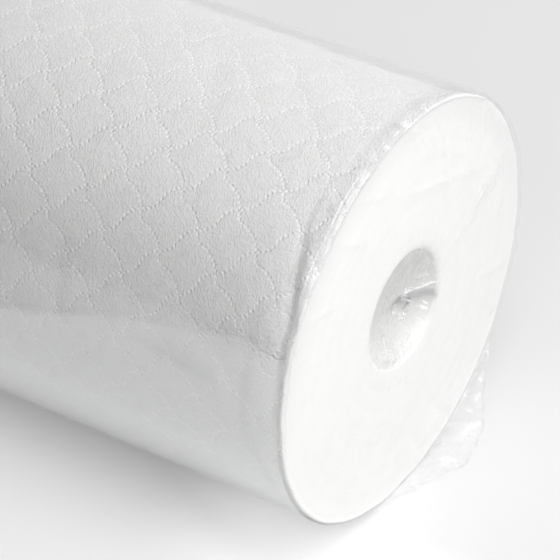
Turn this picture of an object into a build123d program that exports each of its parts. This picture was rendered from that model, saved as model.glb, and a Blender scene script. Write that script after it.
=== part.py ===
from build123d import *
import os
from math import asin, cos, exp, pi, radians, sin, sqrt

# Disposable bed sheet roll: an embossed paper sheet wound without a core, lying on its side in a
# clear film sleeve. The ends of the sleeve are gathered into pleats and tucked into the hole.
# Frame: +X along the roll to its near end, +Z up, origin at the middle of the flat spot below.

# Overall sizes, in millimetres and degrees
SHEET_WIDTH = 600.0
WRAPPED_DIAMETER = 138.0
HOLE_DIAMETER = 38.0
FLAT_WIDTH = 26.0

# Embossed sheet: diamonds in rows along the roll and round it
EMBOSS_PITCH = 19.67
EMBOSS_DEPTH = 0.45
TAIL_ANGLE = -34.0
TAIL_STEP = 0.6

# Edge of the roll: the outer turn stops short of the face, most of all where it has come loose
SHOULDER_DROP = 2.4
SHOULDER_LENGTH = 3.5
SHOULDER_EASE = 0.6
EDGE_STEP = 1.3
EDGE_ROUND = 0.35
EDGE_RISE = 0.3
EDGE_SET_BACK = 1.5
LIP_LENGTH = 2.0
LOOSE_SET_BACK = 6.0
LOOSE_ANGLE = 132.0
LOOSE_SPREAD = 26.0

# Turns that stand proud on the end faces, drawn as one spiral groove
INNER_LAND = 6.0
OUTER_LAND = 4.5
GROOVE_TURNS = 5
GROOVE_DEPTH = 0.7
GROOVE_SIDES = 36

# Film wrapper
FILM_THICKNESS = 0.25
FILM_GAP = 0.2
FILM_PLEATS = 24
PLEAT_HEIGHT = 1.8
FACE_PLEAT_HEIGHT = 0.7
FACE_PLEAT_PLACE = 0.5
TUCK_PLEAT_DEPTH = 3.0
TUCK_SHOULDER = 5.0
TUCK_MIDDLE = 22.0
TUCK_MIDDLE_RADIUS = 11.0
TUCK_DEPTH = 38.0
THROAT_RADIUS = 5.5
THROAT_PLEAT_DEPTH = 0.9

# Surplus film pinched out at the rim, and its crumpled skirt below the near face
BEAD_LENGTH = 0.8
BEAD_WIDTH = 2.4
BEAD_INSIDE_SHARE = 0.7
SKIRT_LENGTH = 12.0
SKIRT_ANGLE = -68.0
SKIRT_SPREAD = 16.0
SKIRT_FLUTTER = 0.9
EAR_LENGTH = 3.0
EAR_ANGLE = 57.0
EAR_SPREAD = 11.0

film_radius = WRAPPED_DIAMETER / 2
hole_radius = HOLE_DIAMETER / 2
axis_height = sqrt(film_radius**2 - (FLAT_WIDTH / 2)**2)
face_x = SHEET_WIDTH / 2
diamonds_round = round(pi * WRAPPED_DIAMETER / EMBOSS_PITCH)
film_sides = 2 * FILM_PLEATS
flat_half_angle = asin(FLAT_WIDTH / 2 / film_radius)
film_facet_angle = (2 * pi - 2 * flat_half_angle) / (film_sides - 1)
paper_radius = (film_radius - FILM_THICKNESS) * cos(film_facet_angle / 2) - FILM_GAP
film_face_x = face_x + FILM_GAP + FILM_THICKNESS
tuck_radius = hole_radius - FILM_GAP - FILM_THICKNESS
groove_start = hole_radius + INNER_LAND
groove_end = paper_radius - TAIL_STEP - SHOULDER_DROP - OUTER_LAND
groove_pitch = (groove_end - groove_start) / (GROOVE_TURNS + 1)


def at(x, radius, angle, lowest=0.0):
    """The point at a radius and an angle round the roll's axis, kept above the flat spot."""
    return Vector(x, radius * cos(angle), max(axis_height + radius * sin(angle), lowest))


def swell(angle, centre, spread):
    """How strong a local feature is at an angle: one at its centre, fading on both sides."""
    away = (angle - radians(centre) + pi) % (2 * pi) - pi
    return exp(-(away / radians(spread))**2)


def facet(*corners):
    """One flat facet through three or more corners."""
    return Face(Wire.make_polygon(corners, close=True))


def band(first, second, along_first):
    """The facets between two rings of points; along_first(i) picks the diagonal of cell i."""
    facets = []
    for i in range(len(first) - 1):
        a, b, c, d = first[i], second[i], second[i + 1], first[i + 1]
        if along_first(i):
            facets += [facet(a, b, c), facet(a, c, d)]
        else:
            facets += [facet(a, b, d), facet(b, c, d)]
    return facets


# Paper roll
def turn_radius(column, columns):
    """The outer turn's radius grows by the tail's step on its way round."""
    return paper_radius - TAIL_STEP * (1 - column / columns)


def loose_edge(angle):
    """How far the outer turn's edge lies behind the near face."""
    return EDGE_SET_BACK + (LOOSE_SET_BACK - EDGE_SET_BACK) * swell(angle, LOOSE_ANGLE, LOOSE_SPREAD)


def emboss_rings(columns, angles):
    """Rings of the quilted surface: valleys where the embossed lines cross, crowns between them."""
    rows = round(2 * SHEET_WIDTH / EMBOSS_PITCH)
    rings = []
    for row in range(1, rows):
        x = face_x - row * SHEET_WIDTH / rows
        ring = []
        for column in range(columns + 1):
            depth = EMBOSS_DEPTH if (row + column) % 2 else 0.0
            radius = turn_radius(column, columns) - depth
            ring.append(at(x, radius, angles[column], FILM_THICKNESS + FILM_GAP))
        rings.append(ring)
    return rings


def edge_ring(columns, angles, place, drop):
    """A ring near the end of the roll; place(angle) is its X and drop its depth below the turn."""
    return [
        at(place(angles[i]), turn_radius(i, columns) - drop, angles[i], FILM_THICKNESS + FILM_GAP)
        for i in range(columns + 1)
    ]


def near_edge_rings(columns, angles):
    """The near face's edge, then the step up to the outer turn, its edge and its raised lip."""
    return [
        edge_ring(columns, angles, lambda a: face_x, SHOULDER_DROP),
        edge_ring(columns, angles, lambda a: face_x - EDGE_ROUND, EDGE_STEP + EDGE_ROUND),
        edge_ring(columns, angles, lambda a: face_x - loose_edge(a) + EDGE_RISE, EDGE_STEP),
        edge_ring(columns, angles, lambda a: face_x - loose_edge(a), EDGE_ROUND),
        edge_ring(columns, angles, lambda a: face_x - loose_edge(a) - LIP_LENGTH, 0.0),
    ]


def far_edge_rings(columns, angles):
    """The plain rounded edge of the far end."""
    return [
        edge_ring(columns, angles, lambda a: SHOULDER_LENGTH - face_x, SHOULDER_EASE),
        edge_ring(columns, angles, lambda a: -face_x, SHOULDER_DROP),
    ]


def end_face(rim, x, depth):
    """An end of the winding: flat lands joined by one spiral groove of V section."""
    rows = 2 * GROOVE_TURNS + 1
    spiral = []
    for row in range(rows):
        level = x - depth if row % 2 else x
        ring = []
        for i in range(GROOVE_SIDES + 1):
            radius = groove_start + groove_pitch * (row / 2 + i / GROOVE_SIDES)
            ring.append(at(level, radius, radians(TAIL_ANGLE) + 2 * pi * i / GROOVE_SIDES))
        spiral.append(ring)
    faces = [facet(*spiral[0]), facet(spiral[0][0], spiral[1][0], spiral[2][0])]
    for row in range(rows - 1):
        faces += band(spiral[row], spiral[row + 1], lambda i: True)
    faces.append(facet(spiral[-1][0], spiral[-2][-1], spiral[-1][-1]))
    outer_land = Face(
        Wire.make_polygon(rim, close=True),
        [Wire.make_polygon(spiral[-1], close=True)],
    )
    return faces + [outer_land]


def paper_roll():
    """All turns of the sheet as one solid, with the tail's step along the back."""
    columns = 2 * diamonds_round
    angles = [radians(TAIL_ANGLE) + 2 * pi * i / columns for i in range(columns + 1)]
    near = near_edge_rings(columns, angles)
    rings = near + emboss_rings(columns, angles) + far_edge_rings(columns, angles)
    faces = []
    for row in range(len(rings) - 1):
        phase = row - len(near)
        faces += band(rings[row], rings[row + 1], lambda i: (phase + i) % 2 == 0)
        faces.append(facet(rings[row][0], rings[row + 1][0], rings[row + 1][-1], rings[row][-1]))
    faces += end_face(rings[0], face_x, GROOVE_DEPTH)
    faces += end_face(rings[-1], -face_x, -GROOVE_DEPTH)
    winding = Solid(Shell(faces))
    hole = Pos(0, 0, axis_height) * Rot(0, 90, 0) * Cylinder(hole_radius, 2 * SHEET_WIDTH)
    return winding - hole


# Film wrapper
def skirt_length(angle, near):
    """How far the pinched surplus film stands out from the end, at an angle."""
    if not near:
        return BEAD_LENGTH
    skirt = SKIRT_LENGTH * swell(angle, SKIRT_ANGLE, SKIRT_SPREAD)
    return BEAD_LENGTH + skirt + EAR_LENGTH * swell(angle, EAR_ANGLE, EAR_SPREAD)


def film_section(i, near):
    """The film's section at pleat line i, from the throat of the tuck out to the sleeve.

    Each entry is x, radius and angle on the outside, then the steps in x and radius to the inside.
    """
    around = -pi / 2 + flat_half_angle + film_facet_angle * i
    even = -pi / 2 + 2 * pi * (i + 0.5) / film_sides
    fold = i % 2
    reach = skirt_length(around, near)
    flutter = SKIRT_FLUTTER * (1 - 2 * fold) * (reach - BEAD_LENGTH) / SKIRT_LENGTH
    face_radius = tuck_radius + FACE_PLEAT_PLACE * (film_radius - tuck_radius)
    face_angle = even + FACE_PLEAT_PLACE * (around - even)
    t = FILM_THICKNESS
    throat = (film_face_x - TUCK_DEPTH, THROAT_RADIUS - THROAT_PLEAT_DEPTH * fold, even, 0, t)
    middle = (film_face_x - TUCK_MIDDLE, TUCK_MIDDLE_RADIUS - TUCK_PLEAT_DEPTH / 2 * fold, even, 0, t)
    shoulder = (film_face_x - TUCK_SHOULDER, tuck_radius - TUCK_PLEAT_DEPTH * fold, even, 0, t)
    brim = (film_face_x + PLEAT_HEIGHT * fold, tuck_radius - PLEAT_HEIGHT * fold, even, -t, t)
    face = (film_face_x + FACE_PLEAT_HEIGHT * fold, face_radius, face_angle, -t, 0)
    inner_root = (film_face_x, film_radius - BEAD_WIDTH, around, -t, t)
    tip_step = (BEAD_INSIDE_SHARE - 1) * reach
    tip = (film_face_x + reach, film_radius - BEAD_WIDTH / 2 + flutter, around, tip_step, 0)
    outer_root = (film_face_x - BEAD_LENGTH, film_radius, around, 0, -t)
    return [throat, middle, shoulder, brim, face, inner_root, tip, outer_root]


def film_rings(near, inside):
    """The rings of one sheet face of the film at one end, each closed on its first point."""
    side = 1 if near else -1
    lowest = FILM_THICKNESS if inside else 0.0
    sections = [film_section(i, near) for i in range(film_sides)]
    rings = []
    for station in range(len(sections[0])):
        ring = []
        for section in sections:
            x, radius, angle, step_x, step_radius = section[station]
            if inside:
                x, radius = x + step_x, radius + step_radius
            ring.append(at(side * x, radius, angle, lowest))
        rings.append(ring + ring[:1])
    return rings


def film_wrap():
    """The sleeve, its pleated ends and tucks as one thin closed skin round the paper."""
    outside = film_rings(True, False) + film_rings(False, False)[::-1]
    inside = film_rings(True, True) + film_rings(False, True)[::-1]
    loop = outside + inside[::-1]
    sleeve_rows = (len(outside) // 2 - 1, len(outside) + len(inside) // 2 - 1)
    faces = []
    for row in range(len(loop)):
        first, second = loop[row], loop[(row + 1) % len(loop)]
        if row in sleeve_rows:
            faces += [facet(first[i], second[i], second[i + 1], first[i + 1]) for i in range(film_sides)]
        else:
            faces += band(first, second, lambda i: i % 2 == 0)
    return Solid(Shell(faces))


os.makedirs("parts", exist_ok=True)
export_step(paper_roll(), "parts/paper_roll.step")
export_step(film_wrap(), "parts/film_wrap.step")
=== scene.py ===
import logging
import math
from collections.abc import Callable
from dataclasses import dataclass, field
from enum import Enum

import bmesh
import bpy
import numpy as np
from mathutils import Matrix, Vector


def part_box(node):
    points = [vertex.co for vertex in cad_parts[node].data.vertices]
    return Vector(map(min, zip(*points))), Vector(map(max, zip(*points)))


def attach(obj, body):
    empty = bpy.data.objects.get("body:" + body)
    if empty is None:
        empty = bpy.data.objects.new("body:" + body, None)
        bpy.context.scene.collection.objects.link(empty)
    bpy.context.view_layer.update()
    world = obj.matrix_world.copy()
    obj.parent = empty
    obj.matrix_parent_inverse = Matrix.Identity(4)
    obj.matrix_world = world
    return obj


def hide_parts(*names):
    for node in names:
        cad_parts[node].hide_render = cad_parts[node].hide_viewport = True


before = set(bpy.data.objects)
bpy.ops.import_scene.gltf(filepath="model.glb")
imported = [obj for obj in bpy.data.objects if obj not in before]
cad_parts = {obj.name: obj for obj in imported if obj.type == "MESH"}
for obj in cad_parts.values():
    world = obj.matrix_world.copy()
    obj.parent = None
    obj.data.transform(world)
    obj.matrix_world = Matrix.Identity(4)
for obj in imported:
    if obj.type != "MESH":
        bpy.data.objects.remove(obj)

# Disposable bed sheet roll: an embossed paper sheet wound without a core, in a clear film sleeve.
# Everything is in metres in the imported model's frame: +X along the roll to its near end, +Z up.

log = logging.getLogger("bed_sheet_roll")

MM = 0.001
MERGED_WITHIN = 2e-6
NO_LENGTH = 1e-6

# A Span is two numbers, such as a fade's start and end or a swell's centre and spread. Rings are places
# along the roll with radii by column. A Strip is a part of the film, by the names of its values.
Array = np.ndarray
Socket = bpy.types.NodeSocket
Colour = tuple[float, float, float]
Span = tuple[float, float]
Rings = list[tuple[Array | float, Array]]
Strip = dict[str, Array]


# Shader wrapper

def operator(operation: str) -> Callable[["Signal", "Signal | float"], "Signal"]:
    """Returns the method of a signal that adds a Math node to it and another value."""
    return lambda self, other: self.math(operation, other)


class Signal:
    """A shader value: Python's operators on it add the Math nodes that work the result out."""

    def __init__(self, shader: "Shader", socket: Socket) -> None:
        """Keeps the socket and the shader it belongs to."""
        self.shader = shader
        self.socket = socket

    def math(self, operation: str, *others: "Signal | float") -> "Signal":
        """Returns the result of one Math node on this value and the others."""
        made = self.shader.node("ShaderNodeMath", {"operation": operation}, dict(enumerate((self, *others))))
        return Signal(self.shader, made.outputs[0])

    __add__ = __radd__ = operator("ADD")
    __mul__ = __rmul__ = operator("MULTIPLY")
    __sub__ = operator("SUBTRACT")
    __truediv__ = operator("DIVIDE")

    def __rsub__(self, other: float) -> "Signal":
        """Returns other - self."""
        return (self * -1.0) + other

    def __neg__(self) -> "Signal":
        """Returns -self."""
        return self * -1.0

    def fade(self, start: float, end: float) -> "Signal":
        """Returns a smooth step from 0 at the start to 1 at the end."""
        inputs = {"Value": self, "From Min": start, "From Max": end}
        made = self.shader.node("ShaderNodeMapRange", {"interpolation_type": "SMOOTHSTEP"}, inputs)
        return Signal(self.shader, made.outputs[0])


class Shader:
    """One material's node tree while it is being built."""

    def __init__(self, tree: bpy.types.NodeTree) -> None:
        """Empties the tree and keeps it."""
        self.tree = tree
        tree.nodes.clear()

    def node(self, kind: str, settings: dict | None = None, inputs: dict | None = None) -> bpy.types.Node:
        """Adds a node.

        Args:
            kind: the node's type.
            settings: its own settings, set first.
            inputs: values, signals or sockets by input name or number.
        Returns:
            The new node.
        """
        made = self.tree.nodes.new(kind)
        for name, value in (settings or {}).items():
            setattr(made, name, value)
        for name, value in (inputs or {}).items():
            if isinstance(value, Signal):
                self.tree.links.new(value.socket, made.inputs[name])
            elif isinstance(value, Socket):
                self.tree.links.new(value, made.inputs[name])
            else:
                made.inputs[name].default_value = value
        return made

    def signal(self, made: bpy.types.Node, output: str | int = 0) -> Signal:
        """Wraps one output of a node."""
        return Signal(self, made.outputs[output])

    def split(self, vector: Socket) -> tuple[Signal, Signal, Signal]:
        """Returns a vector's three parts as signals."""
        made = self.node("ShaderNodeSeparateXYZ", {}, {0: vector})
        return self.signal(made, 0), self.signal(made, 1), self.signal(made, 2)

    def join(self, x: Signal | float, y: Signal | float, z: Signal | float) -> Socket:
        """Returns the vector of three parts."""
        return self.node("ShaderNodeCombineXYZ", {}, {0: x, 1: y, 2: z}).outputs[0]

    def noise(self, vector: Socket, scale: float, detail: float = 2.0, rough: float = 0.5) -> Signal:
        """Returns a noise pattern between 0 and 1; the scale is its cells to a unit."""
        inputs = {"Vector": vector, "Scale": scale, "Detail": detail, "Roughness": rough}
        return self.signal(self.node("ShaderNodeTexNoise", {}, inputs), "Fac")

    def attribute(self, name: str) -> Signal:
        """Returns a value stored on the piece's points."""
        return self.signal(self.node("ShaderNodeAttribute", {"attribute_name": name}), "Fac")

    def place(self) -> Socket:
        """Returns the point's place in metres."""
        return self.node("ShaderNodeTexCoord").outputs["Object"]

    def cells(self, vector: Socket, scale: float) -> Signal:
        """Returns the distance to the nearest point of a pattern of soft cells."""
        inputs = {"Vector": vector, "Scale": scale, "Smoothness": 0.4}
        return self.signal(self.node("ShaderNodeTexVoronoi", {"feature": "SMOOTH_F1"}, inputs), "Distance")

    def blend(self, factor: Signal, low: Colour | Socket, high: Colour) -> Socket:
        """Returns a colour between two colours, the first of which may be a socket."""
        start = (*low, 1.0) if isinstance(low, tuple) else low
        inputs = {"Factor": factor, 6: start, 7: (*high, 1.0)}
        return self.node("ShaderNodeMix", {"data_type": "RGBA"}, inputs).outputs[2]

    def bump(self, height: Signal) -> Socket:
        """Returns the normal of a surface raised by a height in millimetres."""
        return self.node("ShaderNodeBump", {}, {"Height": height, "Distance": MM}).outputs[0]

    def output(self, surface: Socket) -> None:
        """Links the surface to the material's output."""
        self.node("ShaderNodeOutputMaterial", {}, {"Surface": surface})


def new_shader(name: str) -> tuple[bpy.types.Material, Shader]:
    """Returns a new material with its empty shader."""
    material = bpy.data.materials.new(name)
    material.use_nodes = True
    return material, Shader(material.node_tree)


# Sizes shared by the pieces

@dataclass(frozen=True)
class RollFrame:
    """The sizes that the paper and the film share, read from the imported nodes' boxes."""

    sleeve_radius: float
    near_face: float
    far_face: float
    flat_width: float = 26.0 * MM
    hole_radius: float = 19.0 * MM
    paper_clearance: float = 0.585 * MM
    film_clearance: float = 0.45 * MM
    film_lift: float = 0.05 * MM
    tail_angle: float = math.radians(-34.0)

    @property
    def length(self) -> float:
        """How long the roll is from face to face."""
        return self.near_face - self.far_face

    @property
    def axis_height(self) -> float:
        """How high the roll's axis lies over the floor."""
        return math.sqrt(self.sleeve_radius**2 - (self.flat_width / 2) ** 2)

    @property
    def paper_radius(self) -> float:
        """The radius of the outer turn at its tail."""
        return self.sleeve_radius - self.paper_clearance

    def place(self, x: Array, radius: Array, angle: Array, lowest: float) -> Array:
        """Returns points at angles from +Y towards +Z round the roll's axis, kept above a height."""
        height = np.maximum(self.axis_height + radius * np.sin(angle), lowest)
        return np.stack([np.broadcast_to(x, height.shape), radius * np.cos(angle), height], axis=-1)


def read_frame() -> RollFrame:
    """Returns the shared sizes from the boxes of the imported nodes."""
    film_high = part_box("film_wrap")[1]
    paper_low, paper_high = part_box("paper_roll")
    return RollFrame(sleeve_radius=film_high[1], near_face=paper_high[0], far_face=paper_low[0])


def swell(angle: Array, centre: float, spread: float) -> Array:
    """A rise round the roll: one at the centre, fading away over the spread, both in degrees."""
    away = (angle - math.radians(centre) + math.pi) % (2 * math.pi) - math.pi
    return np.exp(-((away / math.radians(spread)) ** 2))


def ease(value: Array, start: float, end: float) -> Array:
    """A smooth step from 0 at the start to 1 at the end."""
    t = np.clip((value - start) / (end - start), 0.0, 1.0)
    return t * t * (3 - 2 * t)


@dataclass(frozen=True)
class Creases:
    """Ridges drawn in a sheet, in millimetres of a flat chart.

    A row holds the chart's two coordinates of a ridge's start, those of its end, its width and its height.
    The tapering is the power of the fade towards its ends.
    """

    rows: tuple[tuple[float, float, float, float, float, float], ...]
    tapering: float = 0.7

    def rise(self, u: Array, v: Array) -> Array:
        """The summed height of the ridges at points of the chart.

        Args:
            u: the points' first coordinates.
            v: their second coordinates.
        Returns:
            The heights, with sharp crests and tapered ends.
        """
        total = np.zeros(np.broadcast(u, v).shape)
        for start_u, start_v, end_u, end_v, width, height in self.rows:
            run_u, run_v = end_u - start_u, end_v - start_v
            length = math.hypot(run_u, run_v)
            along = ((u - start_u) * run_u + (v - start_v) * run_v) / length**2
            across = ((u - start_u) * run_v - (v - start_v) * run_u) / length
            taper = np.clip(1 - (2 * along - 1) ** 2, 0, 1) ** self.tapering
            total += height * taper * np.exp(-np.abs(across) / width)
        return total


def waves(seed: int, count: int, u: Array, v: Array, pitch: Span) -> Array:
    """A smooth seeded unevenness: a sum of plane waves.

    Args:
        seed: the seed of their directions and phases.
        count: how many waves are summed.
        u: first coordinates, in millimetres.
        v: second coordinates, in millimetres.
        pitch: the shortest and longest wavelength, in millimetres.
    Returns:
        The sum, about one at its highest.
    """
    draw = np.random.default_rng(seed)
    total = np.zeros(np.broadcast(u, v).shape)
    for _ in range(count):
        turn, phase = draw.uniform(0, 2 * math.pi, 2)
        length = draw.uniform(*pitch)
        total += np.sin(2 * math.pi * (u * math.cos(turn) + v * math.sin(turn)) / length + phase)
    return total / math.sqrt(2 * count)


def linked(name: str, bm: bmesh.types.BMesh) -> bpy.types.Object:
    """Returns a new object of the scene with the shape of a bmesh, which is freed."""
    mesh = bpy.data.meshes.new(name)
    bm.to_mesh(mesh)
    bm.free()
    piece = bpy.data.objects.new(name, mesh)
    bpy.context.scene.collection.objects.link(piece)
    return piece


def wrapped_skin(name: str, points: Array, chart: Array, values: Strip) -> bpy.types.Object:
    """Bends a grid into a skin round the roll.

    Args:
        name: the new object's name.
        points: places by row and column; the last column meets the first again.
        chart: the UV coordinates by row and column.
        values: attributes of the points by name, each by row and column.
    Returns:
        The object, with merged seams and outward normals.
    """
    rows, columns = points.shape[:2]
    bm = bmesh.new()
    bmesh.ops.create_grid(bm, x_segments=columns - 1, y_segments=rows - 1, size=1.0)
    layers = [(bm.verts.layers.float.new(key), value) for key, value in values.items()]
    sheet = bm.loops.layers.uv.new("sheet")
    for index, vert in enumerate(bm.verts):
        place = divmod(index, columns)
        vert.co = points[place]
        for layer, value in layers:
            vert[layer] = value[place]
        for loop in vert.link_loops:
            loop[sheet].uv = chart[place]
    bmesh.ops.remove_doubles(bm, verts=bm.verts, dist=MERGED_WITHIN)
    bmesh.ops.dissolve_degenerate(bm, edges=bm.edges, dist=NO_LENGTH)
    bmesh.ops.recalc_face_normals(bm, faces=bm.faces)
    if bm.calc_volume(signed=True) < 0:
        bmesh.ops.reverse_faces(bm, faces=bm.faces)
    for face in bm.faces:
        face.smooth = True
    return linked(name, bm)


# Finishes

@dataclass(frozen=True)
class PaperFinish:
    """Soft white tissue paper: a fine pin emboss and lines of embossed dots with a painted highlight."""

    colour: Colour = (0.905, 0.905, 0.9)
    shade: Colour = (0.875, 0.876, 0.872)
    roughness: float = 0.85
    side: float = 13.9
    skew: tuple[float, float, float] = (1.25, 0.8333, 0.1667)
    sway: float = 0.97
    lean: float = 0.22
    dots_to_side: int = 9
    dot_radius: float = 0.78
    dot_depth: float = 0.3
    flattened: float = 0.45
    free_columns: Span = (14.0, 19.5)
    # Painted highlight: the dots are coloured lighter than the sheet, for the light that their walls catch.
    painted_dot_highlight: Colour = (1.0, 1.0, 0.995)
    painted_dot_highlight_edge: float = 0.35
    # Painted shade: the sheet next to the near face, on the roll's upper side, is coloured darker.
    rim_painted_shade: Colour = (0.72, 0.722, 0.718)
    rim_painted_shade_rows: Span = (0.95, 0.35)
    rim_painted_shade_columns: Span = (22.5, 18.5)
    spot_scale: float = 90.0
    pin_scale: float = 1.9
    pin_slant: float = 0.2
    pin_stretch: float = 0.6
    pin_edge: Span = (0.15, 0.7)
    pin_depth: float = 0.12
    tooth_scale: float = 1.1
    tooth_depth: float = 0.05

    def material(self) -> bpy.types.Material:
        """Returns the material; its chart counts half diamonds round the roll in U and along it in V.

        The dots are flattened on the side that the film is stretched over.
        """
        material, shader = new_shader("embossed_paper")
        chart = shader.node("ShaderNodeUVMap", {"uv_map": "sheet"}).outputs[0]
        column, row, _ = shader.split(chart)
        first = (row + column - 1.0) * 0.5
        second = (column - row - 1.0) * 0.5
        kept = column.fade(*self.free_columns) * (1.0 - self.flattened) + self.flattened
        dots = self.dots(first, second) * kept
        height = dots * -self.dot_depth + self.texture(shader, row, column)
        spots = shader.noise(shader.place(), self.spot_scale)
        # Painted shade next to the near face's top; the dots' painted highlight is left out there.
        rim_painted_shade = row.fade(*self.rim_painted_shade_rows) * column.fade(*self.rim_painted_shade_columns)
        sheet = shader.blend(rim_painted_shade, shader.blend(spots, self.shade, self.colour), self.rim_painted_shade)
        dots = dots * (1.0 - rim_painted_shade)
        surface = shader.node("ShaderNodeBsdfPrincipled", {}, {
            # The dots' lighter colour is a painted highlight; their pits come from the bump.
            "Base Color": shader.blend(dots.fade(0.0, self.painted_dot_highlight_edge), sheet, self.painted_dot_highlight),
            "Roughness": self.roughness,
            "Specular IOR Level": 0.25,
            "Normal": shader.bump(height),
        })
        shader.output(surface.outputs[0])
        return material

    def dots(self, first: Signal, second: Signal) -> Signal:
        """Both families of embossed lines.

        Args:
            first: the lattice coordinate that is whole on the first family's lines.
            second: the same for the second family.
        Returns:
            One at the bottom of an embossed dot, fading round it.
        """
        steep, gentle, start = self.skew
        along = second.math("FRACT")
        ramp = (along * steep).math("MINIMUM", along * gentle + start) * (2 * math.pi)
        sway = ramp.math("SINE")
        drift = sway * -self.sway - sway * sway * self.lean
        across = self.from_line(first + drift / self.side)
        back = (1.0 - first.math("FRACT")) * (2 * math.pi)
        other = self.from_line(second - back.math("SINE") / self.side)
        return self.row_of_dots(across, second).math("MAXIMUM", self.row_of_dots(other, first))

    def from_line(self, place: Signal) -> Signal:
        """Returns the distance from the nearest line in millimetres, with its sign."""
        return ((place + 0.5).math("FRACT") - 0.5) * self.side

    def row_of_dots(self, across: Signal, along: Signal) -> Signal:
        """One family's dots: one at the bottom of a dot, fading round it; across is in millimetres."""
        step = ((along * self.dots_to_side).math("FRACT") - 0.5) * (self.side / self.dots_to_side)
        return (across * across + step * step).math("SQRT").fade(self.dot_radius, 0.0)

    def texture(self, shader: Shader, row: Signal, column: Signal) -> Signal:
        """The fine pin emboss, drawn out round the roll, in millimetres."""
        half = self.side / math.sqrt(2)
        slant = row * half + column * (half * self.pin_slant)
        flat = shader.join(slant, column * (half * self.pin_stretch), 0.0)
        pins = shader.cells(flat, self.pin_scale)
        tooth = shader.noise(flat, self.tooth_scale)
        return pins.fade(*self.pin_edge) * -self.pin_depth + tooth * self.tooth_depth


@dataclass(frozen=True)
class WindingFinish:
    """The cut edges of the turns on the roll's end faces and the wall of its hole."""

    colour: Colour = (0.93, 0.928, 0.918)
    shade: Colour = (0.915, 0.913, 0.903)
    # Painted shade: the end faces' outer rim is coloured darker on its upper half.
    rim_painted_shade: Colour = (0.85, 0.85, 0.842)
    roughness: float = 0.9
    rim_band: Span = (0.054, 0.068)
    upper_half: Span = (-0.02, 0.03)
    ring_scale: float = 1400.0
    ring_wander: float = 6.0
    ring_depth: float = 0.07
    fibre_scale: float = 900.0
    fibre_depth: float = 0.04

    def material(self, axis_height: float) -> bpy.types.Material:
        """Returns the material, with rings round the axis at the given height."""
        material, shader = new_shader("paper_winding_edges")
        place = shader.place()
        _, y, z = shader.split(place)
        up = z - axis_height
        radius = (y * y + up * up).math("SQRT")
        turns = shader.join(radius * self.ring_scale, y * self.ring_wander, up * self.ring_wander)
        rings = shader.noise(turns, 1.0, 3.0, 0.6)
        fibres = shader.noise(place, self.fibre_scale)
        # Painted shade on the upper half of the faces' outer rim.
        rim = radius.fade(*self.rim_band) * up.fade(*self.upper_half)
        surface = shader.node("ShaderNodeBsdfPrincipled", {}, {
            "Base Color": shader.blend(rim, shader.blend(rings, self.shade, self.colour), self.rim_painted_shade),
            "Roughness": self.roughness,
            "Specular IOR Level": 0.2,
            "Normal": shader.bump(rings * self.ring_depth + fibres * self.fibre_depth),
        })
        shader.output(surface.outputs[0])
        return material


@dataclass(frozen=True)
class FilmFinish:
    """Thin clear film: it shows what lies behind it and mirrors the room faintly."""

    colour: Colour = (0.96, 0.965, 0.97)
    roughness: float = 0.1
    metallic: float = 0.6
    index: float = 1.5
    crinkle_scale: float = 260.0
    fine_scale: float = 900.0
    wide_wrinkles: float = 70.0
    tight_wrinkles: float = 190.0
    layers: float = 1.9
    haze: float = 0.3
    # How much the painted shade adds to the film's cover.
    painted_shade_haze: float = 1.6
    thinning: float = 1.0
    wrinkle_cover: float = 0.8
    densest: float = 0.5
    densest_taut: float = 0.09
    densest_slack: float = 0.12
    # Painted highlight: past this fold the film's crest is whitened with more cover, less metal and less
    # painted shade.
    crest_fold: float = 0.45
    crest_cover: float = 0.9
    crest_metallic: float = -1.2
    least_metallic: float = 0.05
    crest_light: float = 4.0
    # The film's colour where shade is painted.
    painted_shade_colour: Colour = (0.34, 0.342, 0.35)

    def material(self) -> bpy.types.Material:
        """Returns the material; attributes say where the film is bunched, slack or taut and where shade is
        painted.
        """
        material, shader = new_shader("clear_film")
        place = shader.place()
        fold, slack, taut, dark = (shader.attribute(name) for name in ("fold", "slack", "taut", "dark"))
        crinkle = shader.noise(place, self.crinkle_scale, 3.0, 0.55)
        fine = shader.noise(place, self.fine_scale)
        tight = self.lines(shader, place, self.tight_wrinkles)
        wrinkle = self.lines(shader, place, self.wide_wrinkles).math("MAXIMUM", tight * 0.7)
        height = crinkle * (fold * 0.5 + 0.05) + fine * (fold * 0.12) + wrinkle * (fold * 0.3)
        normal = shader.bump(height)
        glance = shader.signal(shader.node("ShaderNodeFresnel", {}, {"IOR": self.index, "Normal": normal}))
        most = self.densest - taut * (self.densest - self.densest_taut)
        sheen = (glance * (self.layers - taut * self.thinning)).math("MINIMUM", most)
        # Painted highlight: the most folded crests get more cover and less metal, so they show whitish;
        # where the film is folded, thin wrinkle lines get more cover, partly real gloss and partly painted
        # glints.
        crest = (fold - self.crest_fold).math("MAXIMUM", 0.0)
        # Slack adds haze: partly the haze of slack film, partly a painted reflection of the bright floor.
        cover = sheen + (slack + dark * self.painted_shade_haze) * self.haze + wrinkle * (fold * self.wrinkle_cover)
        cover = (cover + crest * self.crest_cover).math("MINIMUM", slack * self.densest_slack + self.densest)
        # Painted shade: the dark value darkens the film's colour, less on its crests.
        shade = (dark - crest * self.crest_light).math("MAXIMUM", 0.0)
        clear = shader.node("ShaderNodeBsdfTransparent")
        gloss = shader.node("ShaderNodeBsdfPrincipled", {}, {
            "Base Color": shader.blend(shade, self.colour, self.painted_shade_colour),
            "Metallic": (crest * self.crest_metallic + self.metallic).math("MAXIMUM", self.least_metallic),
            "Roughness": self.roughness,
            "Normal": normal,
        })
        mixed = shader.node("ShaderNodeMixShader", {}, {0: cover, 1: clear.outputs[0], 2: gloss.outputs[0]})
        shader.output(mixed.outputs[0])
        return material

    def lines(self, shader: Shader, place: Socket, scale: float) -> Signal:
        """Thin crossing lines like those of crumpled film: one on a line, fading beside it."""
        level = (shader.noise(place, scale) - 0.5).math("ABSOLUTE")
        return level.fade(0.03, 0.0)


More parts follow.
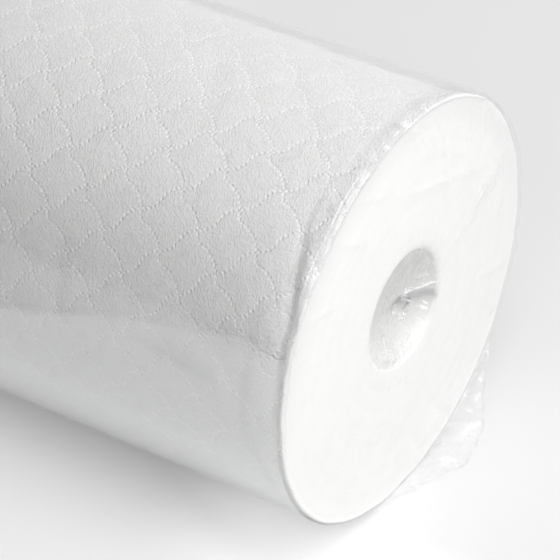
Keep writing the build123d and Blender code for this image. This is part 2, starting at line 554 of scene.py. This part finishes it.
@dataclass(frozen=True)
class FloorFinish:
    """The plain pale floor, lighter towards the lamps; its colour and glow carry painted shade and light."""

    colour: Colour = (0.88, 0.88, 0.88)
    # Painted shade: the floor's colour is darker towards the lamps.
    painted_shade_near_lamps: Colour = (0.665, 0.665, 0.667)
    glow: float = 0.3
    # Tones of the glow: dim is a painted shadow beside the roll; corner and far are painted light.
    dim_tone: float = 0.76
    light_tone: float = 1.24
    corner_tone: float = 0.42
    far_tone: float = 0.18
    lamp_side: Span = (0.2, 0.34)
    past_ends: Span = (0.225, 0.285)
    beside: Span = (0.03, 0.056)
    corner_along: Span = (0.235, 0.275)
    corner_from: Span = (0.015, 0.035)
    corner_to: Span = (0.08, 0.055)
    behind: Span = (0.08, 0.3)

    def material(self) -> bpy.types.Material:
        """Returns the material: a little of its tone shows of itself, so that the shadow stays pale."""
        material, shader = new_shader("pale_floor")
        x, y, _ = shader.split(shader.place())
        # Painted shade: the colour is darker towards the lamps.
        near_lamps = (x + y).fade(*self.lamp_side)
        surface = shader.node("ShaderNodeBsdfPrincipled", {}, {
            "Base Color": shader.blend(near_lamps, self.colour, self.painted_shade_near_lamps),
            "Roughness": 0.8,
            "Specular IOR Level": 0.1,
        })
        path = shader.node("ShaderNodeLightPath")
        seen = shader.signal(path, "Is Camera Ray")
        for other in ("Is Glossy Ray", "Is Transmission Ray"):
            seen = seen.math("MAXIMUM", shader.signal(path, other))
        # The glow's tone holds painted light and shade: dimmer beside the roll, a painted shadow; lighter
        # just past its near end at the front and far behind it, painted light.
        along = x.math("ABSOLUTE").fade(*self.past_ends)
        away = y.math("ABSOLUTE").fade(*self.beside).math("MAXIMUM", along)
        front = -y
        corner = x.fade(*self.corner_along) * front.fade(*self.corner_from) * front.fade(*self.corner_to)
        tone = away * (self.light_tone - self.dim_tone) + self.dim_tone + corner * self.corner_tone
        tone = tone + y.fade(*self.behind) * self.far_tone
        plain = shader.node("ShaderNodeEmission", {}, {"Color": tone})
        inputs = {0: seen * self.glow, 1: surface.outputs[0], 2: plain.outputs[0]}
        mixed = shader.node("ShaderNodeMixShader", {}, inputs)
        shader.output(mixed.outputs[0])
        material.cycles.emission_sampling = "NONE"
        return material


# Paper

@dataclass
class PaperRoll:
    """The whole winding as one skin: quilted outer turn, loose outer edge, end faces and hole.

    Lengths are in millimetres, and places round the roll in degrees from +Y towards +Z. The dents' chart
    runs along the roll from its near face and up its front.
    """

    roll: RollFrame
    lattice_columns: int = 44
    columns_to_half: int = 5
    lattice_rows: int = 61
    quilt_depth: float = 0.14
    line_half_width: float = 2.0
    tail_step: float = 0.6
    near_rows: int = 118
    far_rows: int = 140
    near_length: float = 210.0
    edge_length: float = 24.0
    lip_start: float = 0.1
    lip_step: float = 0.12
    lip_rows: int = 14
    edge_rows: int = 28
    slit_set_back: float = 4.2
    slit_nearest: float = 1.6
    slit_ragged: float = 0.35
    slit_wander: float = 5.0
    wander_at: Span = (124.0, 19.0)
    open_at: Span = (145.0, 18.0)
    lower_at: Span = (172.0, 24.0)
    slit_depth: float = 2.2
    lower_slit: float = 0.4
    shut_slit: float = 0.06
    slit_fall: float = 4.2
    lip_width: float = 2.2
    rounding: float = 1.1
    slack_reach: float = 7.5
    slack_drop: float = 2.3
    slack_at: Span = (112.0, 42.0)
    broad_puckers: float = 0.08
    tight_puckers: float = 0.32
    pucker_reach: float = 16.0
    puckered_at: Span = (160.0, 42.0)
    face_rows: int = 40
    rim_fading: float = 22.0
    bore_rows: int = 14
    far_edge_rows: int = 5
    groove_turns: int = 5
    groove_depth: float = 0.12
    groove_width: float = 0.16
    inner_land: float = 6.0
    outer_land: float = 7.5
    uneven_depth: float = 0.08
    far_bevel: float = 3.5
    far_step: float = 0.1
    far_drop: float = 2.3
    hole_bevel: float = 0.9
    edges_within: float = 63.0
    dents: Creases = Creases((
        (-81, 39, -78, -3, 2.2, 0.55), (-51, 14.6, -21, 8.4, 2.5, 0.6),
        (-14.4, 29, -15.1, -11, 1.3, 0.45), (-27.5, 26.4, -14.5, 5.6, 1.6, 0.4),
        (-74, 121.4, -50, 80.6, 2.6, 0.45), (-50, 125.4, -28, 88.6, 2.4, 0.4),
    ), 2.0)
    finish: PaperFinish = field(default_factory=PaperFinish)
    winding: WindingFinish = field(default_factory=WindingFinish)

    def build(self) -> bpy.types.Object:
        """Builds and dresses the roll.

        Returns:
            The piece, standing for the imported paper.
        """
        points, chart = self.surface()
        piece = wrapped_skin("embossed_paper_roll", points, chart, {})
        piece.data.materials.append(self.finish.material())
        piece.data.materials.append(self.winding.material(self.roll.axis_height))
        self.dress_edges(piece)
        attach(piece, "root")
        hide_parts("paper_roll")
        return piece

    def columns(self) -> Array:
        """Half diamonds counted round the roll from the tail, with the first place repeated at the end."""
        count = self.lattice_columns * self.columns_to_half
        turn = np.arange(count + 2) / self.columns_to_half
        turn[-1] = 0.0
        return turn

    def angles(self) -> Array:
        """The angle of every column in radians, from +Y towards +Z."""
        return self.roll.tail_angle + self.columns() * 2 * math.pi / self.lattice_columns

    def turn_radius(self) -> Array:
        """The outer turn's radius by column: it grows by the tail's step on its way round."""
        grown = 1 - self.columns() / self.lattice_columns
        return self.roll.paper_radius - self.tail_step * MM * grown

    def slit(self) -> tuple[Array, Array]:
        """The slit between the outer turn's slack edge and the lip of the turns under it.

        Returns:
            How far it lies behind the face and how deep it is, by column, in millimetres.
        """
        reach = self.roll.sleeve_radius / MM
        angle = self.angles()
        ragged = waves(5, 8, reach * np.cos(angle), reach * np.sin(angle), (7.0, 30.0)) * self.slit_ragged
        behind = self.slit_set_back + self.slit_wander * swell(angle, *self.wander_at) + ragged
        open_side = swell(angle, *self.open_at)
        share = open_side + self.lower_slit * swell(angle, *self.lower_at) * (1 - open_side)
        return np.maximum(behind, self.slit_nearest), self.slit_depth * share + self.shut_slit

    def edge_drop(self, behind: Array) -> Array:
        """How far the near end of the roll sinks below its outer turn.

        Args:
            behind: distances behind the face by row and column, in millimetres.
        Returns:
            The rounded edge, the sloping shoulder and the slit, in millimetres.
        """
        slack = swell(self.angles(), *self.slack_at)
        rounded = self.rounding * (1 - np.sqrt(1 - np.clip(1 - behind / self.rounding, 0, 1) ** 2))
        sloped = self.slack_drop * slack * np.clip(1 - behind / self.slack_reach, 0, 1)
        place, depth = self.slit()
        past = behind - place
        sheet, lip = np.exp(-np.abs(past) / self.slit_fall), np.exp(-((past / self.lip_width) ** 2))
        opened = np.where(past > 0, sheet, lip)
        return rounded + sloped + depth * opened

    def lattice_row(self, x: Array) -> Array:
        """Half diamonds counted along the roll from its near face."""
        return (self.roll.near_face - x) * self.lattice_rows / self.roll.length

    def quilt(self, x: Array) -> Array:
        """How far the sheet is pressed in at the embossed lines.

        Args:
            x: places along the roll, by row and column.
        Returns:
            The depths in metres.
        """
        row, column = self.lattice_row(x), self.columns()[None, :]
        first, second = (row + column - 1) / 2, (column - row - 1) / 2
        side, (steep, gentle, start) = self.finish.side, self.finish.skew
        along = second % 1.0
        sway = np.sin(2 * math.pi * np.minimum(steep * along, start + gentle * along))
        drift = (-self.finish.sway * sway - self.finish.lean * sway**2) / side
        across = ((first + drift + 0.5) % 1.0 - 0.5) * side
        other = ((second - np.sin(2 * math.pi * (1 - first % 1.0)) / side + 0.5) % 1.0 - 0.5) * side
        nearest = np.minimum(np.abs(across), np.abs(other))
        crown = 1 - np.exp(-((nearest / self.line_half_width) ** 2))
        return self.quilt_depth * MM * (1 - crown)

    def puckers(self, x: Array) -> Array:
        """Soft unevenness of the outer turn, stronger beside its loose edge."""
        round_mm = self.angles()[None, :] * self.roll.sleeve_radius / MM
        from_face = (self.roll.near_face - x) / MM
        broad = waves(11, 10, from_face, round_mm, (28.0, 70.0)) * self.broad_puckers
        beside = np.exp(-((from_face / self.pucker_reach) ** 2)) * swell(self.angles(), *self.puckered_at)
        tight = waves(23, 10, from_face, round_mm * 0.5, (4.0, 11.0)) * self.tight_puckers
        up_front = (math.pi - self.angles())[None, :] * self.roll.sleeve_radius / MM
        dents = self.dents.rise(-from_face, up_front)
        return (broad + beside * tight - dents - 0.12 - 0.15 * beside) * MM

    def surface(self) -> tuple[Array, Array]:
        """The skin, ring by ring.

        Returns:
            The points and their UV chart.
        """
        rings = self.barrel() + self.far_edge() + self.end_face(False) + self.bore()
        rings += self.end_face(True) + self.near_edge()
        rings.append(rings[0])
        x = np.stack([np.broadcast_to(ring[0], self.angles().shape) for ring in rings])
        radius = np.stack([ring[1] for ring in rings])
        lowest = self.roll.film_clearance + self.roll.film_lift
        points = self.roll.place(x, radius, self.angles()[None, :], lowest)
        column = np.broadcast_to(self.columns()[None, :], x.shape).copy()
        column[:, -1] = self.lattice_columns
        return points, np.stack([column, self.lattice_row(x)], axis=-1)

    def barrel(self) -> Rings:
        """The quilted outer turn behind its near edge, as x and radius by column."""
        start = self.roll.near_face - self.edge_length * MM
        middle = self.roll.near_face - self.near_length * MM
        end = self.roll.far_face + self.far_bevel * MM
        places = np.linspace(start, middle, self.near_rows + 1)[:-1]
        places = np.concatenate([places, np.linspace(middle, end, self.far_rows + 1)])
        x = np.repeat(places[:, None], len(self.angles()), axis=1)
        return list(zip(x, self.turn_surface(x)))

    def turn_surface(self, x: Array) -> Array:
        """The radius of the outer turn at places along the roll, by row and column."""
        sunk = self.edge_drop((self.roll.near_face - x) / MM) * MM
        return self.turn_radius()[None, :] - self.quilt(x) + self.puckers(x) - sunk

    def far_edge(self) -> Rings:
        """The rounded edge of the far end."""
        rings = []
        for i in range(1, self.far_edge_rows + 1):
            turn = math.pi / 2 * i / self.far_edge_rows
            x = self.roll.far_face + self.far_bevel * MM * (1 - math.sin(turn))
            drop = (self.far_step + self.far_drop * (1 - math.cos(turn))) * MM
            rings.append((x, self.turn_radius() - drop))
        return rings

    def rim_radius(self, near: bool) -> Array:
        """The radius at which an end face begins, by column."""
        if not near:
            return self.turn_radius() - (self.far_drop + self.far_step) * MM
        face = np.full((1, len(self.angles())), self.roll.near_face - self.lip_start * MM)
        return self.turn_surface(face)[0] - self.lip_step * MM

    def end_face(self, near: bool) -> Rings:
        """One end of the winding, from its rim to the hole or from the hole to its rim."""
        level = self.roll.near_face if near else self.roll.far_face
        out = 1.0 if near else -1.0
        rim = self.rim_radius(near)
        even = float(rim.mean())
        rings = []
        for i in range(self.face_rows + 1):
            share = i / self.face_rows
            outer = even + (rim - even) * math.exp(-share * self.rim_fading)
            radius = outer * (1 - share) + self.roll.hole_radius * share
            rings.append((level - out * self.sunk(radius, near), radius))
        return rings[::-1] if near else rings

    def sunk(self, radius: Array, near: bool) -> Array:
        """How far the winding lies behind the face's plane: a shallow spiral and uneven turns.

        Args:
            radius: distances from the axis, by column.
            near: whether this is the near face.
        Returns:
            The depths in metres.
        """
        start = self.roll.hole_radius + self.inner_land * MM
        pitch = (self.roll.paper_radius - self.outer_land * MM - start) / (self.groove_turns + 1)
        turns = (radius - start) / pitch - self.columns() / self.lattice_columns
        groove = np.exp(-(((turns % 1.0 - 0.5) / self.groove_width) ** 2)) * self.groove_depth
        y, z = radius / MM * np.cos(self.angles()), radius / MM * np.sin(self.angles())
        uneven = waves(31 if near else 37, 8, y, z, (9.0, 40.0)) * self.uneven_depth
        rounded = np.exp(-((radius - self.roll.hole_radius) / (1.2 * MM))) * self.hole_bevel
        return (groove + uneven + 0.15 + rounded) * MM

    def bore(self) -> Rings:
        """The wall of the hole, from the far end to the near one."""
        rings = []
        for i in range(1, self.bore_rows):
            share = i / self.bore_rows
            x = self.roll.far_face + self.roll.length * share
            ripple = waves(41 + i, 5, np.degrees(self.angles()), 0.0, (30.0, 120.0)) * 0.12 * MM
            rings.append((x, self.roll.hole_radius + ripple))
        return rings

    def near_edge(self) -> Rings:
        """The near end of the outer turn: the lip beside the face, the slit and the sheet behind it."""
        place, _ = self.slit()
        shares = np.linspace(0.0, 1.0, self.lip_rows + 1)[:, None]
        lip = self.lip_start + (place - self.lip_start) * (1 - (1 - shares) ** 1.5)
        shares = np.linspace(0.0, 1.0, self.edge_rows + 1)[1:-1, None]
        sheet = place + (self.edge_length - place) * shares**1.7
        x = self.roll.near_face - np.concatenate([lip, sheet]) * MM
        return list(zip(x, self.turn_surface(x)))

    def dress_edges(self, piece: bpy.types.Object) -> None:
        """Gives the winding's edges and the hole their own material."""
        near = self.roll.near_face - 0.35 * MM
        far = self.roll.far_face + 0.8 * MM
        for polygon in piece.data.polygons:
            x, y, z = polygon.center
            radius = math.hypot(y, z - self.roll.axis_height)
            if radius < self.edges_within * MM or not far < x < near:
                polygon.material_index = 1


# Film

@dataclass
class FilmWrapper:
    """The clear sleeve with its crumpled near rim, its skirt, its tucked ends and its creases.

    Lengths are in millimetres, and places round the roll in degrees from +Y towards +Z. The chart of the
    web and the face is Y and Z from the axis, and the sleeve's runs as the paper's dents' does.
    """

    roll: RollFrame
    columns: int = 300
    crowding: float = 0.045
    sleeve_rows: int = 96
    sleeve_bunching: float = 1.7
    face_rows: int = 62
    face_bunching: float = 1.15
    tuck_rows: int = 36
    skirt_rows: int = 9
    skirt_length: float = 12.0
    skirt_at: Span = (-72.0, 19.0)
    slack_rim_at: Span = (128.0, 75.0)
    glints_at: Span = (85.0, 42.0)
    ear_length: float = 3.0
    ear_at: Span = (57.0, 9.0)
    band_length: float = 0.9
    band_at: Span = (30.0, 18.0)
    longest_reach: float = 12.7
    hole_radius: float = 18.4
    face_radius: float = 66.3
    sleeve_radius: float = 68.72
    largest_radius: float = 68.9
    web_share: float = 0.8
    web_close: float = 15.6
    web_depth: float = 3.6
    rope_close: float = 1.9
    rope_depth: float = 1.2
    pocket_depth: float = 2.5
    pocket_at: Span = (-35.0, 30.0)
    curl_place: Span = (1.3, -1.5)
    curl_radius: float = 3.0
    curl_width: float = 0.55
    curl_height: float = 1.4
    slack_height: float = 26.0
    slack_fall: float = 23.0
    slack_run: Span = (15.0, 120.0)
    random_creases: int = 46
    # Painted shade in the web over the hole: dark patches among its folds.
    web_shades: Creases = Creases((
        (-8.5, 5.5, 22, -7.5, 3, 1.45), (-8.5, -8.5, -7, -17, 1.1, 1), (-12.5, -8, -11.5, -15, 0.9, 0.6),
        (9, 13, 16, 3, 1.2, 0.4),
    ))
    web_creases: Creases = Creases((
        (20, -1.6, -3.5, 6.2, 0.6, 2), (18, 3, 2, 9, 0.5, 1.2), (-16.5, 1, -14, -12, 0.5, 1.4),
        (-13.5, 3, -11, -15, 0.5, 1.6), (-10, 0, -8, -17, 0.5, 1.4), (-6.5, -4, -5, -18, 0.5, 1.6),
        (-3, -8, -2, -18.5, 0.5, 1.6), (1, -8, 2, -18.5, 0.5, 1.4), (9, 16, 13, 6, 0.5, 1.2),
        (12.5, 14, 16, 4, 0.5, 1.2), (15.5, 10, 18.5, 1, 0.5, 1),
    ))
    face_creases: Creases = Creases((
        (65, 24, 25, 7, 0.7, 1.3), (60, 25.5, 34, 14.5, 0.5, 1), (56, 12, 52.5, 1, 0.5, 0.9),
        (-8, 46, 50, 24, 1.6, 0.5), (12, 63, 20, 44, 0.7, 0.5), (35, 57, 33, 45, 0.6, 0.5),
        (57, 34, 49, 41, 0.7, 0.6), (-40, 50, -24, 40, 0.8, 0.6), (-55, 32, -40, 28, 0.8, 0.5),
        (2, 66, 10, 50, 0.7, 0.8), (22, 62.5, 27, 50, 0.6, 0.8), (44, 50, 42, 36, 0.6, 0.7),
        (-30, 59, -14, 50, 0.7, 0.7), (60, -20, 40, -14, 0.8, 0.6),
    ))
    # Painted shade on the sleeve: soft grey blotches and lines.
    sleeve_shades: Creases = Creases((
        (-52, 14, -22, 9, 2.6, 0.36), (-13.5, 30, -12, -10, 1.1, 0.22), (-80, 36, -77, 4, 2.4, 0.14),
        (-11, -4, -4, -34, 1.2, 0.14),
    ))
    sleeve_creases: Creases = Creases((
        (-74, 20, -79, 115, 1, 0.12), (-11, 27, -12, -6, 0.7, 0.2), (-100, 3, -60, 18, 0.6, 0.16),
        (-66, 16, -20, 25, 1.2, 0.07),
    ))
    finish: FilmFinish = field(default_factory=FilmFinish)

    def build(self) -> bpy.types.Object:
        """Builds and dresses the wrapper.

        Returns:
            The piece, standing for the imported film.
        """
        points, values = self.surface()
        rows, turns = (np.linspace(0.0, 1.0, count) for count in points.shape[:2])
        chart = np.stack(np.meshgrid(turns, rows), axis=-1)
        piece = wrapped_skin("clear_film_wrapper", points, chart, values)
        piece.data.materials.append(self.finish.material())
        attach(piece, "root")
        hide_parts("film_wrap")
        return piece

    def angles(self) -> Array:
        """The angle of every column in radians, closer together round the skirt."""
        share = np.linspace(0.0, 1.0, self.columns + 1)
        crowd = self.crowding * np.sin(2 * math.pi * (share - 0.05))
        return -math.pi / 2 + 2 * math.pi * (share + crowd - crowd[0])

    def surface(self) -> tuple[Array, Strip]:
        """The sheet from the near throat to the far one.

        Returns:
            The points, and where the film is folded, slack or taut and where shade is painted on it.
        """
        parts = [self.tuck(True), self.face(True), self.rim(True), self.sleeve()]
        parts += [self.flip(part) for part in (self.rim(False), self.face(False), self.tuck(False))]
        film = {name: np.concatenate([part[name] for part in parts]) for name in parts[0]}
        turned = self.angles()[None, :] + film.pop("turned")
        points = self.roll.place(film.pop("x"), film.pop("radius"), turned, self.roll.film_lift)
        points[:, -1] = points[:, 0]
        return points, film

    def strip(self, x: Array, radius: Array, **values: Array | float) -> Strip:
        """One part of the film, row by row.

        Args:
            x: the places along the roll, in metres.
            radius: the distances from the axis, in millimetres.
            values: what else isn't nought: turned in radians, fold, slack, taut and dark, which is painted
                shade.
        Returns:
            All the values by name, each by row and column.
        """
        given = {"turned": 0.0, "fold": 0.0, "slack": 0.0, "taut": 0.0, "dark": 0.0} | values
        given |= {"x": x, "radius": radius * MM}
        shape = (len(x), self.columns + 1)
        return {name: np.broadcast_to(value, shape) for name, value in given.items()}

    def flip(self, part: Strip) -> Strip:
        """Mirrors a near-end part to the far end, with its rows the other way round."""
        turned = {name: value[::-1] for name, value in part.items()}
        return turned | {"x": self.roll.near_face + self.roll.far_face - turned["x"]}

    def tuck(self, near: bool) -> Strip:
        """The film gathered over the hole: a crumpled web that runs into a short rope in the middle."""
        angle = self.angles()[None, :]
        share = np.linspace(1.0, 0.0, self.tuck_rows)[:, None]
        web = np.minimum(share / self.web_share, 1.0)
        rope = np.maximum(share - self.web_share, 0.0) / (1.0 - self.web_share)
        radius = self.hole_radius - self.web_close * web**1.15 - self.rope_close * rope
        y, z = radius * np.cos(angle), radius * np.sin(angle)
        seed = 51 if near else 61
        loose = ease(web, 0.0, 0.25) * (1 - rope)
        crumple = np.abs(waves(seed, 12, y, z, (6.0, 18.0))) * loose
        pleat = waves(seed + 1, 10, np.degrees(angle) * 0.5, radius * 0.4, (5.0, 16.0)) * loose
        pocket = swell(angle, *self.pocket_at) * ease(-radius, -18.2, -14.0) * ease(radius, 1.0, 9.0)
        ridges = shaded = np.zeros_like(y)
        if near:
            from_curl = np.hypot(y - self.curl_place[0], z - self.curl_place[1]) - self.curl_radius
            curl = self.curl_height * np.exp(-((from_curl / self.curl_width) ** 2))
            ridges = self.web_creases.rise(y, z) + curl * (1 - rope)
            # The web's painted shade.
            shaded = np.clip(self.web_shades.rise(y, z), 0.0, 1.0)
        rises = crumple * 1.1 + pleat * 0.4 + ridges
        depth = self.web_depth * web**0.8 + self.rope_depth * rope + self.pocket_depth * pocket
        x = self.roll.near_face + (0.45 - depth + rises) * MM
        fold = 0.08 + 0.2 * np.clip(rises / 2.0, 0, 1) + 0.75 * ease(ridges, 0.5, 1.3)
        return self.strip(x, radius, turned=0.08 * crumple, fold=fold, taut=0.6, dark=shaded)

    def face(self, near: bool) -> Strip:
        """The film stretched over an end face, with the pleats that run from the hole."""
        angle = self.angles()[None, :]
        share = np.linspace(0.0, 1.0, self.face_rows + 1)[1:, None] ** self.face_bunching
        from_hole = (self.face_radius - self.hole_radius) * share
        radius = self.hole_radius + from_hole
        seed = 71 if near else 81
        y, z = radius * np.cos(angle), radius * np.sin(angle)
        ray = waves(seed, 12, np.degrees(angle), share * 6, (5.0, 18.0))
        rays = np.abs(ray) * (0.03 + 0.7 * np.exp(-from_hole / 2.5))
        rises = rays * 0.55 + waves(seed + 1, 10, y, z, (9.0, 30.0)) * 0.12 * np.sin(math.pi * share) + 0.15
        if near:
            rises = rises + self.face_creases.rise(y, z)
        rises = np.maximum(rises, 0.0)
        fold = 0.04 + 0.15 * np.exp(-from_hole / 2.0) + 0.6 * np.clip(rises - 0.4, 0, 1)
        return self.strip(self.roll.near_face + (0.5 + rises) * MM, radius, fold=fold)

    def reach(self, near: bool) -> Array:
        """How far the pinched film stands out from the rim, by column, in millimetres."""
        angle = self.angles()
        if not near:
            return 0.7 + 0.25 * waves(95, 6, np.degrees(angle), 0.0, (8.0, 40.0))
        skirt = self.skirt_length * swell(angle, *self.skirt_at)
        ragged = 1 + 0.16 * waves(91, 8, np.degrees(angle), 0.0, (3.0, 12.0))
        ear = self.ear_length * swell(angle, *self.ear_at)
        plain = 0.35 + 0.35 * waves(93, 8, np.degrees(angle), 0.0, (4.0, 20.0))
        band = self.band_length * swell(angle, *self.band_at)
        return np.clip(np.maximum(plain, 0.05) + skirt * ragged + ear + band, 0.05, self.longest_reach)

    def rim(self, near: bool) -> Strip:
        """The pinched rim: out along the skirt, over its ragged edge and back to the sleeve."""
        angle = self.angles()[None, :]
        reach = self.reach(near)[None, :]
        out = np.linspace(0.0, 1.0, self.skirt_rows)
        share = np.concatenate([out, out[-2::-1]])[:, None]
        back = np.repeat([0.0, 1.0], [self.skirt_rows, self.skirt_rows - 1])[:, None]
        loose = reach / self.skirt_length
        arc = np.degrees(angle) * 1.2
        crumple = waves(101, 14, arc, share * reach, (2.2, 9.0)) * (0.25 + 1.2 * loose) * share**0.7
        sheet = waves(102, 14, arc, share * reach + 40 * back, (1.8, 6.0)) * (0.1 + 0.45 * loose) * share
        inner, outer = 66.6 + 0.9 * share, 68.75 - 0.9 * share
        radius = inner * (1 - back) + outer * back + crumple + sheet
        radius = np.clip(radius, self.face_radius - 3.0 * loose, self.largest_radius)
        x = self.roll.near_face + (0.75 * (1 - back) - 0.9 * back + (reach + 0.3 * sheet) * share) * MM
        # The glints are folds: their bumps catch real gloss, and the finish whitens their crests as a
        # painted highlight.
        glints = np.clip(waves(103, 12, arc, 3 * share, (5.0, 22.0)) - 0.15, 0, 1)
        fold = 0.05 + 0.1 * np.clip(loose * 2.0, 0, 1) + 1.1 * glints * swell(angle, *self.glints_at)
        taut = 1.0 - swell(angle, *self.slack_rim_at) if near else 1.0
        return self.strip(x, radius, turned=0.012 * crumple * loose, fold=fold, taut=taut)

    def sleeve(self) -> Strip:
        """The sleeve from the near rim to the far one, with rows closer together at its near end."""
        angle = self.angles()[None, :]
        share = np.linspace(0.0, 1.0, self.sleeve_rows + 1)[1:-1, None] ** self.sleeve_bunching
        behind = 1.6 + (self.roll.length / MM - 3.2) * share
        arc = (math.pi - angle) * self.roll.sleeve_radius / MM
        rises = self.all_sleeve_creases().rise(-behind, arc)
        rises = rises + waves(111, 10, behind, arc, (14.0, 60.0)) * 0.05
        beside_rim = np.exp(-behind / 5.0)
        gathers = np.abs(waves(113, 12, np.degrees(angle), behind * 0.3, (4.0, 16.0)))
        rises = rises + gathers * beside_rim * 0.2
        fold = 0.05 + 0.3 * beside_rim * swell(angle, 110.0, 45.0) + 0.5 * np.clip(rises, 0, 0.4)
        # Below a line across the lower front the film is given slack: partly the haze of slack film, partly
        # a painted reflection of the bright floor.
        lower = 1 + 0.7 * ease(-arc, -12.0, 40.0) + 0.9 * ease(-arc, 36.0, 56.0)
        soft = 1.5 + 7.0 * np.exp(-behind / 22.0)
        slack_line = self.slack_height - self.slack_fall * ease(behind, *self.slack_run)
        slack = ease((slack_line - arc) / soft, -1.0, 1.0) * ease(arc, -85.0, -60.0) * lower
        x, radius = self.roll.near_face - behind * MM, self.sleeve_radius + np.clip(rises, -0.1, 0.24)
        # dark is the sleeve's painted shade.
        return self.strip(x, radius, fold=fold, slack=slack, dark=self.sleeve_shades.rise(-behind, arc))

    def all_sleeve_creases(self) -> Creases:
        """The sleeve's placed creases and its random ones, behind the near face and round the roll."""
        draw = np.random.default_rng(7)
        rows = list(self.sleeve_creases.rows)
        for _ in range(self.random_creases):
            x, arc = -draw.uniform(2.0, 590.0), draw.uniform(-110.0, 325.0)
            turn, length = draw.normal(math.pi / 2, 0.6), draw.uniform(18.0, 80.0)
            width, height = draw.uniform(0.7, 1.6), draw.uniform(0.05, 0.16)
            rows.append((x, arc, x + length * math.cos(turn), arc + length * math.sin(turn), width, height))
        return Creases(tuple(rows))


# Studio

class RoomSide(Enum):
    """How bright the room is towards one side."""

    NEAR_END = 1.0
    BEHIND = 1.16


@dataclass(frozen=True)
class Softbox:
    """One soft square lamp: where it hangs, the length of its side and its power in watts."""

    name: str
    place: tuple[float, float, float]
    size: float
    energy: float


@dataclass
class Studio:
    """Floor, lamps, room tone and the camera at the photograph's viewing angle."""

    roll: RollFrame
    floor_size: float = 8.0
    lamps: tuple[Softbox, ...] = (
        Softbox("front_softbox", (0.55, -0.6, 0.6), 0.3, 0.92),
        Softbox("end_softbox", (0.7, 0.0, 0.35), 0.3, 0.71),
        Softbox("top_softbox", (0.45, -0.15, 0.7), 0.35, 1.75),
        Softbox("low_softbox", (0.45, -0.35, 0.1), 0.16, 0.055),
    )
    camera_place: tuple[float, float, float] = (0.7005, -0.6800, 0.6823)
    yaw: float = 2.1505
    pitch: float = 0.6528
    tilt: float = -0.0109
    lens: float = 215.74
    lamp_aim: float = 0.1
    seen_from_to: Span = (0.05, 50.0)

    def build(self) -> None:
        """Builds the whole studio."""
        self.floor()
        self.room()
        for softbox in self.lamps:
            self.hang(softbox)
        self.camera()

    def floor(self) -> None:
        """The pale floor."""
        bm = bmesh.new()
        bmesh.ops.create_grid(bm, x_segments=1, y_segments=1, size=self.floor_size / 2)
        floor = linked("pale_floor", bm)
        floor.data.materials.append(FloorFinish().material())

    def room(self) -> None:
        """The room's tone: dark on the camera's side, light behind the roll and over its near end."""
        world = bpy.data.worlds.new("studio_room")
        world.use_nodes = True
        bpy.context.scene.world = world
        shader = Shader(world.node_tree)
        x, y, _ = shader.split(shader.node("ShaderNodeTexCoord").outputs["Generated"])
        tone = x.math("MAXIMUM", 0.0) * RoomSide.NEAR_END.value
        tone = tone + y.math("MAXIMUM", 0.0) * RoomSide.BEHIND.value
        light = shader.node("ShaderNodeBackground", {}, {"Color": tone})
        shader.node("ShaderNodeOutputWorld", {}, {"Surface": light.outputs[0]})

    def hang(self, softbox: Softbox) -> None:
        """Hangs a lamp that looks at the near end."""
        data = bpy.data.lights.new(softbox.name, "AREA")
        data.shape = "SQUARE"
        data.size = softbox.size
        data.energy = softbox.energy
        lamp = bpy.data.objects.new(softbox.name, data)
        aim = Vector((self.roll.near_face - self.lamp_aim, 0.0, self.roll.axis_height))
        lamp.location = softbox.place
        lamp.rotation_euler = (aim - lamp.location).to_track_quat("-Z", "Y").to_euler()
        bpy.context.scene.collection.objects.link(lamp)

    def camera(self) -> None:
        """The camera at the photograph's place."""
        data = bpy.data.cameras.new("camera")
        data.lens = self.lens
        data.clip_start, data.clip_end = self.seen_from_to
        camera = bpy.data.objects.new("camera", data)
        place = Matrix.Translation(self.camera_place)
        quarter = math.pi / 2
        for angle, axis in ((self.yaw - quarter, "Z"), (quarter - self.pitch, "X"), (self.tilt, "Z")):
            place = place @ Matrix.Rotation(angle, 4, axis)
        camera.matrix_world = place
        bpy.context.scene.collection.objects.link(camera)
        bpy.context.scene.camera = camera


def report(piece: bpy.types.Object) -> None:
    """Logs a finished piece and its size."""
    faces = sum(len(polygon.vertices) - 2 for polygon in piece.data.polygons)
    log.info("%s: %d vertices, %d triangles", piece.name, len(piece.data.vertices), faces)


def main() -> None:
    """Builds the studio and the two pieces in order."""
    logging.basicConfig(level=logging.INFO, format="%(name)s: %(message)s")
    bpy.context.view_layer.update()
    bpy.context.scene.view_settings.view_transform = "Standard"
    roll = read_frame()
    report(PaperRoll(roll).build())
    report(FilmWrapper(roll).build())
    Studio(roll).build()


if __name__ == "__main__":
    main()
